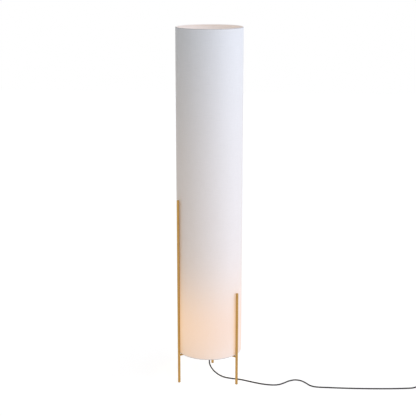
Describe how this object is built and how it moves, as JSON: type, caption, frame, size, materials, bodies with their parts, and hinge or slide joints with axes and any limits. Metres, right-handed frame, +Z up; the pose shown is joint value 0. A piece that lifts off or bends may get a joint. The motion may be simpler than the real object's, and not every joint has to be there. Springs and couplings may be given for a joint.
{
  "type": "column floor lamp",
  "caption": "Floor lamp: a tall white fabric cylinder between slim brass legs of different heights, lit low inside, with a black cord, a foot switch and a plug.",
  "frame": {"origin": "on the floor below the axis of the shade and hub", "axes": "+Z up along the shade's axis, +Y toward the rear leg, +X to the right, the way the cord runs"},
  "size_m": [1.1275, 0.253, 1.312],
  "materials": {
    "satin_brass": "satin, finely brushed along the rods",
    "contact_brass": "plain",
    "plated_steel": "zinc plated",
    "cap_nickel": "nickel plated",
    "black_moulding": "fine matt texture",
    "cord_jacket": "smooth matt jacket",
    "tie_strap": "woven",
    "white_moulding": "smooth",
    "pale_moulding": "plain",
    "opal_globe": "opal, glows warm",
    "light_board": "white board with pale chips",
    "shade_textile": "fine plain weave, white",
    "shade_plastic": "translucent white sheet",
    "hem_tape": "fine plain weave, white",
    "white_wire": "white coated wire",
    "glide_nylon": "brown nylon",
    "pad_rubber": "soft matt rubber",
    "live_core": "brown insulation",
    "neutral_core": "blue insulation"
  },
  "bodies": {
    "stand": {"leg_tall": "satin_brass", "leg_rear": "satin_brass", "leg_short": "satin_brass", "leg_glides": "glide_nylon", "arm_tall": "satin_brass", "arm_rear": "satin_brass", "arm_short": "satin_brass", "arm_studs": "plated_steel", "hub_disc": "satin_brass", "hub_grub_screws": "plated_steel", "entry_tube": "contact_brass", "tube_nuts": "contact_brass", "tube_washers": "plated_steel", "cord_gland": "black_moulding", "cord_inner_end": "cord_jacket", "live_wire": "live_core", "neutral_wire": "neutral_core", "holder_cap": "white_moulding", "holder_body": "white_moulding", "holder_contact_block": "pale_moulding", "holder_thread_shell": "contact_brass", "holder_centre_contact": "contact_brass", "holder_terminal_screws": "plated_steel", "lamp_cord": "cord_jacket", "switch_base": "black_moulding", "switch_cover": "black_moulding", "switch_contact_block": "pale_moulding", "switch_fixed_contacts": "contact_brass", "switch_terminal_screws": "plated_steel", "switch_cord_clamps": "black_moulding", "switch_case_screws": "plated_steel", "switch_feet": "pad_rubber", "switch_reliefs": "cord_jacket", "switch_cord_ends": "cord_jacket", "switch_live_cores": "live_core", "switch_neutral_core": "neutral_core", "mains_cord_lead": "cord_jacket", "mains_cord_coil": "cord_jacket", "mains_cord_tail": "cord_jacket", "cord_tie": "tie_strap", "plug_body": "black_moulding", "plug_pins": "cap_nickel"},
    "shade": {"shade_fabric": "shade_textile", "shade_liner": "shade_plastic", "shade_top_ring": "white_wire", "shade_bottom_ring": "white_wire", "shade_top_hem": "hem_tape", "shade_bottom_hem": "hem_tape", "shade_seam_strip": "shade_plastic"},
    "bulb": {"bulb_diffuser": "opal_globe", "bulb_housing": "white_moulding", "bulb_light_board": "light_board", "bulb_screw_cap": "cap_nickel", "bulb_cap_insulator": "black_moulding", "bulb_tip_contact": "cap_nickel"},
    "button": {"switch_button": "black_moulding", "switch_contact_bridge": "contact_brass", "switch_spring": "plated_steel"}
  },
  "joints": [
    {"name": "shade_lift", "type": "slide", "parent": "stand", "child": "shade", "axis": [0, 0, 1], "range_m": [0, 0.2]},
    {"name": "bulb_out", "type": "slide", "parent": "stand", "child": "bulb", "axis": [0, 0, 1], "range_m": [0, 0.03]},
    {"name": "button_press", "type": "slide", "parent": "stand", "child": "button", "axis": [0, 0, -1], "range_m": [0, 0.003], "stiffness_N_per_m": 1500, "springref_m": -0.003, "deforming": ["switch_spring"]}
  ]
}
